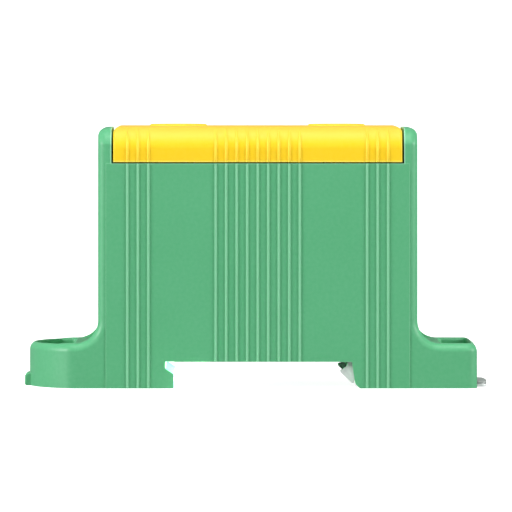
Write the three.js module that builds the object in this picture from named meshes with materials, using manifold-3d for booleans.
// Single-pole DIN rail feed-through terminal block for one heavy cable on each side.
// Millimetres, +Z up. Origin: middle of the face that sits on the rail. +X runs along the block
// towards the sprung latch (called right here), +Y runs along the rail.
import * as THREE from "three";
import { mergeVertices } from "three/addons/utils/BufferGeometryUtils.js";
import Module from "manifold-3d";

const wasm = await Module();
wasm.setup();

// ---------------------------------------------------------------- shared dimensions
const SIDES = [-1, 1];
const FAR = 60; // cutting shapes reach out to here, clear of every part

const HALF_W = 13.5; // half width along the rail, over the raised side panels
const BASE_Z = -5.05; // underside of the feet
const TOP_Z = 44.7; // top of the cover
const END_Z = 44.4; // top of the end walls
const RIM_Z = 37.75; // top edge of the housing side walls, under the cover
const TOWER_TOP_X = 30.48; // half length of the tower at the top
const SHOULDER_R = 4.4; // long rounded edges of tower and cover

// grip ribs on the sides of housing and cover
const RIB_W = 0.6;
const RIB_H = 0.3;
const RIB_ROOT = 0.4; // depth of the rib sunk into the wall
const RIBS_MIDDLE = [-8, -6, -4, -2, 0, 2, 4, 6, 8];
const RIBS_RIGHT = [20.8, 22.8, 24.8];
const RIBS_OUTER = [...RIBS_RIGHT, ...RIBS_RIGHT.map((x) => -x)];

const SCREW_X = 15.2; // screw axes, from the middle
const SCREW_XS = [-SCREW_X, SCREW_X];
const SNAP_XS = [-9, 9]; // snap legs of the cover
const BORE_Z = 12.5; // cable axis

const LATCH_T = 0.9; // latch sheet thickness
const LATCH_HALF_W = 10.0;
const LATCH_Z = -3.55; // underside of the latch plate inside the channel
const LATCH_TOP_Z = LATCH_Z + LATCH_T;
const CHEEK_Y = 12.3; // outer faces of the two toothed cheeks
const CHEEK_T = 1.0;
const CHEEK_X1 = 22.4; // right end of the latch head

const SPRING_OD = 3.8;
const SPRING_Z = -0.62; // spring axis

// ---------------------------------------------------------------- helpers
// Closed manifold from a three.js geometry, without its collapsed triangles.
function solid(geometry) {
  geometry.deleteAttribute("normal");
  geometry.deleteAttribute("uv");
  const merged = mergeVertices(geometry, 1e-4);
  const index = merged.index.array;
  const triangles = [];
  for (let i = 0; i < index.length; i += 3) {
    const [a, b, c] = index.slice(i, i + 3);
    if (a !== b && b !== c && a !== c) triangles.push(a, b, c);
  }
  return new wasm.Manifold(
    new wasm.Mesh({
      numProp: 3,
      vertProperties: new Float32Array(merged.attributes.position.array),
      triVerts: new Uint32Array(triangles),
    }),
  );
}

const join = (list) => list.reduce((a, b) => a.add(b));
const cut = (from, list) => list.reduce((a, b) => a.subtract(b), from);

// Each matrix takes the local extrusion (u, v, depth) to the object's axes.
const axes = (u, v, depth) =>
  new THREE.Matrix4().makeBasis(
    new THREE.Vector3(...u),
    new THREE.Vector3(...v),
    new THREE.Vector3(...depth),
  );
const ALONG = {
  X: axes([0, 1, 0], [0, 0, 1], [1, 0, 0]),
  Y: axes([1, 0, 0], [0, 0, 1], [0, -1, 0]),
  Z: new THREE.Matrix4(),
};

// A prism along an axis. (u, v) is (y, z) for X, (x, z) for Y and (x, y) for Z.
// Its end edges can be rounded: size is across the outline, thickness along the axis.
function prism(axis, points, from, to, { size = 0, thickness = size, segments = 3 } = {}) {
  const outline = new THREE.Shape(points.map(([u, v]) => new THREE.Vector2(u, v)));
  const geometry = new THREE.ExtrudeGeometry(outline, {
    depth: to - from - 2 * thickness,
    bevelEnabled: size > 0,
    bevelSize: size,
    bevelOffset: -size,
    bevelThickness: thickness,
    bevelSegments: segments,
    curveSegments: 1,
  });
  geometry.translate(0, 0, thickness + (axis === "Y" ? -to : from));
  geometry.applyMatrix4(ALONG[axis]);
  return solid(geometry);
}

const box = (x0, x1, y0, y1, z0, z1) =>
  prism("Z", [[x0, y0], [x1, y0], [x1, y1], [x0, y1]], z0, z1);

// A box centred on y = 0.
const midBox = (x0, x1, halfW, z0, z1) => box(x0, x1, -halfW, halfW, z0, z1);

// A turned solid about the vertical line through (x, 0), from [radius, z] points.
function turned(x, profile, segments) {
  const points = profile.map(([radius, z]) => new THREE.Vector2(radius, z));
  const geometry = new THREE.LatheGeometry(points, segments);
  geometry.rotateX(Math.PI / 2);
  geometry.translate(x, 0, 0);
  return solid(geometry);
}

// A cone on the cable axis, from |x| = x0 out to x1, on one side of the block.
function cableCone(side, x0, x1, radius0, radius1) {
  const geometry = new THREE.CylinderGeometry(radius1, radius0, x1 - x0, 40);
  geometry.rotateZ(-Math.PI / 2);
  geometry.translate((x0 + x1) / 2, 0, BORE_Z);
  if (side < 0) geometry.rotateZ(Math.PI);
  return solid(geometry);
}

// Completes the right half of an outline, listed from bottom to top, with its mirror image.
const mirrored = (half) => [...half, ...half.map(([u, ...rest]) => [-u, ...rest]).reverse()];

// Arc points between two angles in degrees.
function arc(cx, cy, radius, start, end, segments) {
  return Array.from({ length: segments + 1 }, (_, k) => {
    const angle = ((start + ((end - start) * k) / segments) * Math.PI) / 180;
    return [cx + radius * Math.cos(angle), cy + radius * Math.sin(angle)];
  });
}

// A regular polygon; turn is the first corner's angle, in steps between corners.
function polygon(cx, cy, radius, sides, turn = 0.5) {
  return Array.from({ length: sides }, (_, i) => {
    const angle = ((i + turn) / sides) * 2 * Math.PI;
    return [cx + radius * Math.cos(angle), cy + radius * Math.sin(angle)];
  });
}

// A slot with round ends along x; half is half the distance between the end centres.
const stadium = (cx, half, radius, segments) => [
  ...arc(cx + half, 0, radius, -90, 90, segments),
  ...arc(cx - half, 0, radius, 90, 270, segments),
];

// A polygon with rounded corners, given as [x, y, radius, segments].
function rounded(corners) {
  const count = corners.length;
  return corners.flatMap(([x, y, radius, segments], i) => {
    if (!radius) return [[x, y]];
    const corner = new THREE.Vector2(x, y);
    const toward = ([px, py]) => new THREE.Vector2(px, py).sub(corner).normalize();
    const before = toward(corners[(i + count - 1) % count]);
    const after = toward(corners[(i + 1) % count]);
    const halfAngle = Math.acos(THREE.MathUtils.clamp(before.dot(after), -1, 1)) / 2;
    const tangent = radius / Math.tan(halfAngle);
    const centre = before.clone().add(after).normalize();
    centre.multiplyScalar(radius / Math.sin(halfAngle)).add(corner);
    const angleAt = (along) =>
      along.clone().multiplyScalar(tangent).add(corner).sub(centre).angle();
    const start = angleAt(before);
    let sweep = angleAt(after) - start;
    if (sweep > Math.PI) sweep -= 2 * Math.PI;
    if (sweep < -Math.PI) sweep += 2 * Math.PI;
    return Array.from({ length: segments + 1 }, (_, k) => {
      const angle = start + (sweep * k) / segments;
      return [centre.x + radius * Math.cos(angle), centre.y + radius * Math.sin(angle)];
    });
  });
}

// An outline from x0 that bows outwards at its right end: corners at endX, bow at the middle.
function bowed(x0, endX, bow, halfW, cornerR, steps = 8) {
  const chord = halfW - cornerR; // half chord of the bow
  const bowR = (chord ** 2 + bow ** 2) / (2 * bow);
  const lean = (Math.asin(chord / bowR) * 180) / Math.PI;
  const end = [];
  for (let k = 1; k < steps; k++) {
    const y = -chord + (2 * chord * k) / steps;
    end.push([endX + bow - (bowR - Math.sqrt(bowR * bowR - y * y)), y]);
  }
  return [
    [x0, -halfW],
    ...arc(endX - cornerR, -chord, cornerR, -90, -lean, 4),
    ...end,
    ...arc(endX - cornerR, chord, cornerR, lean, 90, 4),
    [x0, halfW],
  ];
}

// ---------------------------------------------------------------- housing body
const STEP = 0.15; // side panels stand this far proud of the ears and end walls
const EAR_Y = HALF_W - STEP;
const PANEL_X = 28.9; // half length of the raised side panel
const EDGE_ROUNDING = { size: 1.6 }; // all side-face edges
const SKIRT_Z = BASE_Z - 4; // tower and ears start here, so trimming leaves no lower rounding
const SKIRT_X = 36.5; // half length of the tower's foot, inside the ears
const LEFT_FOOT_X = -34.6; // the left foot ends where the ear begins to round in
const TOWER_FOOT_X = 30.36; // half length of the tower at the ears
const TOWER_CORNER_R = 1.75; // stays above the edge rounding
const EAR_Z = 3.46; // top of the ears
const EAR_FILLET_R = 4.4; // hollow corner between ear and tower
const EAR_ROOT_X = 27; // inner end of the ears, inside the tower
const LEFT_EAR_X = -43.8; // tip of the round left ear
const LEFT_EAR_R = 14.9; // radius of its end
const LEFT_EAR_CORNER = 4.0; // where that end runs into the sides
const RIGHT_EAR_X = 41.8; // corners of the right ear
const RIGHT_EAR_BOW = 0.2; // its end bows out this much at the middle
const RIGHT_EAR_CORNER = 2.0;
const LUG_X = -44.7; // tip of the locating lug on the left ear
const LUG_ROOT_X = -42;
const LUG_Z = -2.6;
const LUG_HALF_W = 3;

function tower() {
  const side = mirrored([
    [SKIRT_X, SKIRT_Z],
    [SKIRT_X, EAR_Z],
    ...arc(TOWER_FOOT_X + EAR_FILLET_R, EAR_Z + EAR_FILLET_R, EAR_FILLET_R, 270, 180, 7),
    ...arc(TOWER_TOP_X - TOWER_CORNER_R, END_Z - TOWER_CORNER_R, TOWER_CORNER_R, 0, 90, 5),
  ]);
  const shoulder = arc(HALF_W - SHOULDER_R, END_Z - SHOULDER_R, SHOULDER_R, 0, 90, 7);
  const end = mirrored([[EAR_Y, -FAR], ...shoulder.map(([y, z]) => [Math.min(y, EAR_Y), z])]);
  return prism("Y", side, -EAR_Y, EAR_Y, EDGE_ROUNDING)
    .intersect(prism("X", end, -FAR, FAR))
    .intersect(midBox(LEFT_FOOT_X, FAR, FAR, -FAR, FAR));
}

// Plan of the left ear's end, moved in by inset: a large arc that runs into the sides over
// smaller corner arcs.
function leftEnd(inset, segments) {
  const cx = LEFT_EAR_X + LEFT_EAR_R;
  const cornerY = EAR_Y - LEFT_EAR_CORNER;
  const cornerDx = Math.sqrt((LEFT_EAR_R - LEFT_EAR_CORNER) ** 2 - cornerY ** 2);
  const cornerX = cx - cornerDx;
  const cornerR = LEFT_EAR_CORNER - inset;
  const lean = (Math.atan2(cornerY, cornerDx) * 180) / Math.PI;
  return [
    ...arc(cornerX, cornerY, cornerR, 90, 180 - lean, 4),
    ...arc(cx, 0, LEFT_EAR_R - inset, 180 - lean, 180 + lean, segments).slice(1, -1),
    ...arc(cornerX, -cornerY, cornerR, 180 + lean, 270, 4),
  ];
}

function ears() {
  const left = [[-EAR_ROOT_X, -EAR_Y], [-EAR_ROOT_X, EAR_Y], ...leftEnd(0, 20)];
  const right = bowed(EAR_ROOT_X, RIGHT_EAR_X, RIGHT_EAR_BOW, EAR_Y, RIGHT_EAR_CORNER);
  return [left, right].map((plan) => prism("Z", plan, SKIRT_Z, EAR_Z, EDGE_ROUNDING));
}

function lug() {
  const side = [
    [LUG_ROOT_X, BASE_Z],
    [LUG_X, BASE_Z, 0.4, 2],
    [LUG_X, LUG_Z, 0.8, 3],
    [LUG_ROOT_X, LUG_Z],
  ];
  return prism("Y", rounded(side), -LUG_HALF_W, LUG_HALF_W);
}

function sideRibs(xs, bottomZ) {
  const section = mirrored([[RIB_W / 2, -RIB_ROOT], [RIB_W / 2, 0], [RIB_W / 4, RIB_H]]);
  return xs.flatMap((x) =>
    SIDES.map((side) => {
      const placed = section.map(([dx, out]) => [x + dx, side * (HALF_W + out)]);
      return prism("Z", placed, bottomZ, RIM_Z);
    }),
  );
}

// ---------------------------------------------------------------- openings in the housing
const HOOK_X = -17.58; // wall of the hook groove
const HOOK_LIP_X = -15.95; // tip of the fixed hook
// Rail slot, [x, z]: the sloping wall on the latch side, a hair of relief above the fixed hook
// so the rail lip can tilt in, then the hook itself.
const RAIL_SLOT = [
  [HOOK_LIP_X, -FAR], [19.45, -FAR], [19.45, BASE_Z], [18.65, -4.3], [18.45, -3.7], [17.9, 0],
  [HOOK_LIP_X + 0.1, 0], [HOOK_LIP_X + 0.05, 0.06], [HOOK_X, 0.06], [HOOK_X, -1.25],
  [HOOK_LIP_X, -2.35],
];

const CAVITY_X = 25.5;
const CAVITY_HALF_W = 10.9;
const CAVITY_Z0 = 2.5;
const COVER_SLOT_X = 27.85; // inner faces of the end walls beside the cover
const CATCH = { halfX: 3.4, y0: 10.5, y1: 11.5, z0: 31.6, z1: 34.6 };
const MOUTH_R = 9.0; // cable mouth at the end faces
const MOUTH_INNER_R = 7.6;

const CHEEK_IN_Y = 11.6; // inner faces of the hollow-corner webs between ears and tower
const BAY = { x0: TOWER_TOP_X - 0.03, x1: 36, z1: 9.5 };
const EAR_WALL = 1.2; // rim around each ear recess at the end
const RIGHT_EAR_WALL = EAR_WALL + 0.1;
const TRAY_HALF_W = 10.4; // half width of the ear recesses
const TRAY_X = 35.2; // inner end of the ear recesses
const EAR_FLOOR_Z = 0.6; // floor of each ear recess
const FIX_HOLE_R = 2.6; // holes for M5 panel screws in the ears
const LEFT_FIX_X = -38.65;
const LEFT_FIX_HALF = 0.8; // the left hole is a slot
const RIGHT_FIX_X = 37.85;

const POCKET_SPANS = [[-33.0, -25.6], [-23.9, -18.9]]; // x
const POCKET_Y0 = 1.1;
const POCKET_Y1 = 11.5;
const POCKET_TOP_Z = -0.6;

const CHANNEL_X0 = 16;
const GAP_Y = 0.35; // clearance around the latch
const GAP_Z = 0.3;
const CHANNEL_OPEN_HALF_W = 7.95; // open slot below the plate, between two lips
const TAB_ROOM_X = 36.2; // from here the channel is open to full width
const HEAD_ROOM_X = CHEEK_X1 + 3.8;
const GROOVE = { x0: 15.2, z0: -4.3, z1: 0.45 };
const SPRING_POCKET_X1 = 32.0;
const SPRING_POCKET_HALF_W = SPRING_OD / 2 + 0.4;

function catches() {
  const { halfX, y0, y1, z0, z1 } = CATCH;
  return SNAP_XS.flatMap((x) =>
    SIDES.map((side) => box(x - halfX, x + halfX, side * y0, side * y1, z0, z1)),
  );
}

const cableMouth = (side) => [
  cableCone(side, CAVITY_X - 0.2, TOWER_TOP_X + 0.1, MOUTH_INNER_R, MOUTH_R),
  cableCone(side, TOWER_TOP_X, FAR, MOUTH_R, MOUTH_R),
];

function earOpenings() {
  const leftTray = [
    [-TRAY_X, -TRAY_HALF_W],
    [-TRAY_X, TRAY_HALF_W],
    ...leftEnd(EAR_WALL, 28).filter(([, y]) => Math.abs(y) < TRAY_HALF_W),
  ];
  const rightTrayEnd = RIGHT_EAR_X - RIGHT_EAR_WALL;
  const rightTray = bowed(TRAY_X, rightTrayEnd, RIGHT_EAR_BOW, TRAY_HALF_W, 1.0);
  const leftFix = stadium(LEFT_FIX_X, LEFT_FIX_HALF, FIX_HOLE_R, 8);
  const rightFix = polygon(RIGHT_FIX_X, 0, FIX_HOLE_R, 24);
  return [
    // between the two webs the ear stays flat up to the end wall
    ...SIDES.map((side) => midBox(side * BAY.x0, side * BAY.x1, CHEEK_IN_Y, EAR_Z, BAY.z1)),
    prism("Z", leftTray, EAR_FLOOR_Z, FAR),
    prism("Z", rightTray, EAR_FLOOR_Z, FAR),
    prism("Z", leftFix, -FAR, FAR),
    prism("Z", rightFix, -FAR, FAR),
  ];
}

// material-saving pockets in the underside of the left foot
const footPockets = () =>
  POCKET_SPANS.flatMap(([x0, x1]) =>
    SIDES.map((side) => box(x0, x1, side * POCKET_Y0, side * POCKET_Y1, -FAR, POCKET_TOP_Z)),
  );

// latch channel in the right foot
function latchChannel() {
  const plateHalfW = LATCH_HALF_W + GAP_Y;
  const headHalfW = CHEEK_Y + GAP_Y;
  const grooveY = CHEEK_Y - CHEEK_T - GAP_Y;
  const z0 = LATCH_Z - GAP_Z;
  const z1 = LATCH_TOP_Z + GAP_Z;
  const springTop = SPRING_Z + SPRING_OD / 2 + 0.35;
  return [
    midBox(CHANNEL_X0, FAR, plateHalfW, z0, z1),
    midBox(CHANNEL_X0, FAR, CHANNEL_OPEN_HALF_W, -FAR, LATCH_Z),
    midBox(CHANNEL_X0, HEAD_ROOM_X, headHalfW, z0, z1),
    midBox(TAB_ROOM_X, FAR, plateHalfW, -FAR, LATCH_Z + 0.5),
    ...SIDES.map((side) =>
      box(GROOVE.x0, HEAD_ROOM_X, side * grooveY, side * headHalfW, GROOVE.z0, GROOVE.z1),
    ),
    midBox(CHANNEL_X0, SPRING_POCKET_X1, SPRING_POCKET_HALF_W, LATCH_Z, springTop),
  ];
}

function housing() {
  const body = join([
    tower(),
    ...ears(),
    midBox(-PANEL_X, PANEL_X, HALF_W, BASE_Z, RIM_Z),
    lug(),
    ...sideRibs(RIBS_MIDDLE, 0),
    ...sideRibs(RIBS_OUTER, BASE_Z),
  ]);
  return cut(body, [
    midBox(-FAR, FAR, FAR, -FAR, BASE_Z), // trims the feet
    prism("Y", RAIL_SLOT, -FAR, FAR),
    midBox(-CAVITY_X, CAVITY_X, CAVITY_HALF_W, CAVITY_Z0, FAR), // room for the connector body
    midBox(-COVER_SLOT_X, COVER_SLOT_X, FAR, RIM_Z, FAR), // gap for the cover
    ...catches(),
    ...SIDES.flatMap(cableMouth),
    ...earOpenings(),
    ...footPockets(),
    ...latchChannel(),
  ]);
}

// ---------------------------------------------------------------- cover
const COVER_X = 27.5; // half length of the cover
const COVER_BOTTOM_Z = 38.0;
const COVER_WALL = 1.8;
const COVER_END_WALL = 1.6;
const COVER_END_R = 1.2; // small rounding of the two top end edges
const COLLAR_Z0 = 39.6;
const COLLAR_Z = 45.15; // top of the collars
const COLLAR_R = 5.55;
const COLLAR_HOLE_R = 4.5;
const SNAP_HALF_L = 3; // half length of a snap leg along x
// Section of a snap leg with its outward barb, [y, z].
const SNAP_LEG = [
  [9.2, 43.6], [9.2, 31.9], [9.9, 31.9], [10.8, 33.4], [10.8, 33.8], [10.3, 34.3], [10.3, 43.6],
];

function coverOutline(inset, bottomZ) {
  const cornerR = SHOULDER_R - inset;
  return mirrored([
    [HALF_W - inset, bottomZ],
    ...arc(HALF_W - SHOULDER_R, TOP_Z - SHOULDER_R, cornerR, 0, 90, 7),
  ]);
}

// The ribs run up the sides and over the long shoulders, fading out towards the flat top.
function coverRib(x) {
  const outline = mirrored([
    [HALF_W + RIB_H, COVER_BOTTOM_Z - 0.5],
    ...arc(0, 0, 1, 0, 84, 6).map(([cos, sin]) => [
      HALF_W - SHOULDER_R + (SHOULDER_R + RIB_H) * cos,
      TOP_Z - SHOULDER_R + (SHOULDER_R - 0.01) * sin,
    ]),
  ]);
  const chamfer = { size: RIB_H, thickness: RIB_W / 4, segments: 1 };
  const rib = prism("X", outline, x - RIB_W / 2, x + RIB_W / 2, chamfer);
  return rib.subtract(midBox(-FAR, FAR, FAR, -FAR, COVER_BOTTOM_Z));
}

const collar = (x) =>
  turned(
    x,
    [
      [0, COLLAR_Z0],
      [COLLAR_R, COLLAR_Z0],
      [COLLAR_R, COLLAR_Z - 0.35],
      [COLLAR_R - 0.12, COLLAR_Z - 0.1],
      [COLLAR_R - 0.35, COLLAR_Z],
      [0, COLLAR_Z],
    ],
    40,
  );

function snapLeg(x, side) {
  const section = SNAP_LEG.map(([y, z]) => [side * y, z]);
  return prism("X", section, x - SNAP_HALF_L, x + SNAP_HALF_L);
}

function cover() {
  const sideView = mirrored([[COVER_X, COVER_BOTTOM_Z - 1], [COVER_X, TOP_Z, COVER_END_R, 4]]);
  const shell = prism("X", coverOutline(0, COVER_BOTTOM_Z), -COVER_X, COVER_X).intersect(
    prism("Y", rounded(sideView), -FAR, FAR),
  );
  const ribbed = join([shell, ...[...RIBS_MIDDLE, ...RIBS_OUTER].map(coverRib)]);
  const hollowX = COVER_X - COVER_END_WALL;
  const hollow = prism("X", coverOutline(COVER_WALL, COVER_BOTTOM_Z - 1), -hollowX, hollowX);
  const collared = join([ribbed.subtract(hollow), ...SCREW_XS.map(collar)]);
  const holes = SCREW_XS.map((x) => prism("Z", polygon(x, 0, COLLAR_HOLE_R, 40), -FAR, FAR));
  const legs = SNAP_XS.flatMap((x) => SIDES.map((side) => snapLeg(x, side)));
  return join([cut(collared, holes), ...legs]);
}

// ---------------------------------------------------------------- connector body
const BLOCK_X = 25.2; // half length of the connector body
const BLOCK_HALF_W = 10.5;
const BLOCK_Z0 = 2.75;
const BLOCK_Z1 = 30.0;
const BORE_R = 7.3;
const BORE_FLARE = 0.7; // growth of the bore radius at its ends
const THREAD_R = 6; // M12

function clampBlock() {
  const section = mirrored([
    [BLOCK_HALF_W, BLOCK_Z0, 0.6, 2],
    [BLOCK_HALF_W, BLOCK_Z1, 1.2, 3],
  ]);
  const countersink = [
    [0, BLOCK_Z1 - 0.9],
    [THREAD_R + 0.03, BLOCK_Z1 - 0.9],
    [THREAD_R + 1.0, BLOCK_Z1 + 0.05],
    [0, BLOCK_Z1 + 0.05],
  ];
  return cut(prism("X", rounded(section), -BLOCK_X, BLOCK_X), [
    prism("X", polygon(0, BORE_Z, BORE_R, 40, 0), -FAR, FAR),
    ...SIDES.map((side) =>
      cableCone(side, BLOCK_X - 0.7, BLOCK_X + 0.2, BORE_R, BORE_R + BORE_FLARE),
    ),
    ...SCREW_XS.map((x) => prism("Z", polygon(x, 0, THREAD_R + 0.05, 36), BORE_Z, FAR)),
    ...SCREW_XS.map((x) => turned(x, countersink, 36)),
  ]);
}

// ---------------------------------------------------------------- screws and pads
const SCREW_R = THREAD_R - 0.05;
const SCREW_L = 16;
const SCREW_TIP_Z = 22.1; // lower end of the open screws
const SCREW_TOP_Z = SCREW_TIP_Z + SCREW_L;
const TIP_CHAMFER = 1.0;
const TOP_CHAMFER = 0.7;
const SOCKET_AF = 6;
const SOCKET_DEPTH = 7.0;
const TIP_HOLE_R = 2.35;
const TIP_HOLE_DEPTH = 2.4;
const PAD_R = 5.1;
const PAD_Z0 = 20.1;
const PAD_Z1 = PAD_Z0 + 1.8;
const PIN_R = 2.0; // pin on top of the pad

function clampScrew(x) {
  const profile = [
    [0, SCREW_TIP_Z],
    [SCREW_R - TIP_CHAMFER, SCREW_TIP_Z],
    [SCREW_R, SCREW_TIP_Z + TIP_CHAMFER],
    [SCREW_R, SCREW_TOP_Z - TOP_CHAMFER],
    [SCREW_R - TOP_CHAMFER, SCREW_TOP_Z],
    [0, SCREW_TOP_Z],
  ];
  const hexagon = polygon(x, 0, SOCKET_AF / Math.sqrt(3), 6, 0);
  return cut(turned(x, profile, 36), [
    prism("Z", hexagon, SCREW_TOP_Z - SOCKET_DEPTH, FAR),
    prism("Z", polygon(x, 0, TIP_HOLE_R, 20), -FAR, SCREW_TIP_Z + TIP_HOLE_DEPTH),
  ]);
}

function pressurePad(x) {
  const profile = [
    [0, PAD_Z0],
    [PAD_R - 0.5, PAD_Z0],
    [PAD_R, PAD_Z0 + 0.5],
    [PAD_R, PAD_Z1 - 0.2],
    [PAD_R - 0.2, PAD_Z1],
    [PIN_R, PAD_Z1],
    [PIN_R, PAD_Z1 + 2.0],
    [PIN_R - 0.4, PAD_Z1 + 2.3],
    [0, PAD_Z1 + 2.3],
  ];
  return turned(x, profile, 32);
}

// ---------------------------------------------------------------- rail latch
const HEAD_X0 = 18.2; // left end of plate and head
const BEND_X0 = 36.5; // underside of the step down to the pull tab
const BEND_X1 = 38.3;
const BEND_SHIFT = 0.25; // the step's top side lies this much further right
const TAB_Z = -5.0; // underside of the pull tab
const TAB_TOP_Z = TAB_Z + LATCH_T;
const TAB_X = 43.7; // end of the pull tab
const TAB_HALF_W = 8.0;
const TAB_BOW = 0.35;
const TAPER_X0 = 39.8; // the plate narrows to the tab between these
const TAPER_X1 = 41.3;
const WINDOW = { x: 36.8, half: 1.6, radius: 3.0 }; // slot through plate and tab
const UPRIGHT_X0 = 19.6;
const UPRIGHT_X1 = 20.55;
// Side view of a toothed cheek, [x, z]; the arc sweeps down to the tooth.
const CHEEK = [
  [17.9, -4.05], [18.3, -4.05], [18.3, LATCH_Z], [CHEEK_X1, LATCH_Z], [CHEEK_X1, 0.05],
  ...arc(15.5, 0.05, 1.63, 0, -86, 6),
  [15.84, -2.15],
];

function railLatch() {
  const side = [
    [HEAD_X0, LATCH_Z],
    [BEND_X0, LATCH_Z],
    [BEND_X1, TAB_Z],
    [FAR, TAB_Z],
    [FAR, TAB_TOP_Z],
    [BEND_X1 + BEND_SHIFT, TAB_TOP_Z],
    [BEND_X0 + BEND_SHIFT, LATCH_TOP_Z],
    [HEAD_X0, LATCH_TOP_Z],
  ];
  const plan = [
    [0, LATCH_HALF_W],
    [0, -LATCH_HALF_W],
    [TAPER_X0, -LATCH_HALF_W],
    ...bowed(TAPER_X1, TAB_X, TAB_BOW, TAB_HALF_W, 0.8, 10),
    [TAPER_X0, LATCH_HALF_W],
  ];
  const window = stadium(WINDOW.x, WINDOW.half, WINDOW.radius, 6);
  const plate = prism("Y", side, -LATCH_HALF_W, LATCH_HALF_W)
    .intersect(prism("Z", plan, -FAR, FAR))
    .subtract(prism("Z", window, -FAR, FAR));
  const springHalf = SPRING_OD / 2;
  return join([
    plate,
    // the head is wider than the plate and carries a toothed cheek at each side
    midBox(HEAD_X0, CHEEK_X1, CHEEK_Y - 0.1, LATCH_Z, LATCH_TOP_Z),
    prism("Y", CHEEK, CHEEK_Y - CHEEK_T, CHEEK_Y),
    prism("Y", CHEEK, -CHEEK_Y, -CHEEK_Y + CHEEK_T),
    // upright that the spring pushes on
    midBox(UPRIGHT_X0, UPRIGHT_X1, springHalf, LATCH_Z + 0.1, SPRING_Z + springHalf),
  ]);
}

// ---------------------------------------------------------------- spring
const SPRING_WIRE = 0.55;
const SPRING_X0 = 20.85;
const SPRING_X1 = 31.75;
const SPRING_END_GAP = 0.05; // between the wire and each end of its span
const SPRING_TURNS = 7;
const DEAD_TURNS = 0.9; // nearly closed turns at each end
const DEAD_L = DEAD_TURNS * SPRING_WIRE * 1.12;

class Coil extends THREE.Curve {
  getPoint(t, target = new THREE.Vector3()) {
    const radius = (SPRING_OD - SPRING_WIRE) / 2;
    const turn = t * SPRING_TURNS;
    const length = SPRING_X1 - SPRING_X0 - SPRING_WIRE - 2 * SPRING_END_GAP;
    const liveTurns = SPRING_TURNS - 2 * DEAD_TURNS;
    let x;
    if (turn < DEAD_TURNS) {
      x = (turn / DEAD_TURNS) * DEAD_L;
    } else if (turn > SPRING_TURNS - DEAD_TURNS) {
      x = length - ((SPRING_TURNS - turn) / DEAD_TURNS) * DEAD_L;
    } else {
      x = DEAD_L + ((turn - DEAD_TURNS) / liveTurns) * (length - 2 * DEAD_L);
    }
    return target.set(
      SPRING_X0 + SPRING_WIRE / 2 + SPRING_END_GAP + x,
      radius * Math.cos(turn * 2 * Math.PI),
      SPRING_Z + radius * Math.sin(turn * 2 * Math.PI),
    );
  }
}

function latchSpring() {
  const section = polygon(0, 0, SPRING_WIRE / 2, 7).map(([u, v]) => new THREE.Vector2(u, v));
  const geometry = new THREE.ExtrudeGeometry(new THREE.Shape(section), {
    extrudePath: new Coil(),
    steps: SPRING_TURNS * 12,
    bevelEnabled: false,
  });
  return solid(geometry);
}

// ---------------------------------------------------------------- scene graph
const FINISH = {
  housing: { color: "#61b282", roughness: 0.45, metalness: 0 },
  cover: { color: "#fed828", roughness: 0.4, metalness: 0 },
  block: { color: "#c9cdd0", roughness: 0.35, metalness: 1 },
  screw: { color: "#b9bdc0", roughness: 0.3, metalness: 1 },
  pad: { color: "#c4a06a", roughness: 0.4, metalness: 1 },
  latch: { color: "#cfd4d6", roughness: 0.3, metalness: 1 },
  spring: { color: "#9fa4a8", roughness: 0.35, metalness: 1 },
};

const group = new THREE.Group();
group.name = "din_rail_terminal_block";

function add(name, manifold, finish) {
  const { vertProperties, triVerts } = manifold.getMesh();
  const geometry = new THREE.BufferGeometry();
  const positions = new THREE.BufferAttribute(new Float32Array(vertProperties), 3);
  geometry.setAttribute("position", positions);
  geometry.setIndex(new THREE.BufferAttribute(new Uint32Array(triVerts), 1));
  geometry.computeVertexNormals();
  const material = new THREE.MeshStandardMaterial({ ...finish, flatShading: true });
  const mesh = new THREE.Mesh(geometry, material);
  mesh.name = name;
  group.add(mesh);
}

add("housing", housing(), FINISH.housing);
add("cover", cover(), FINISH.cover);
add("clamp_block", clampBlock(), FINISH.block);
add("clamp_screw_left", clampScrew(-SCREW_X), FINISH.screw);
add("clamp_screw_right", clampScrew(SCREW_X), FINISH.screw);
add("pressure_pad_left", pressurePad(-SCREW_X), FINISH.pad);
add("pressure_pad_right", pressurePad(SCREW_X), FINISH.pad);
add("rail_latch", railLatch(), FINISH.latch);
add("latch_spring", latchSpring(), FINISH.spring);

export default group;
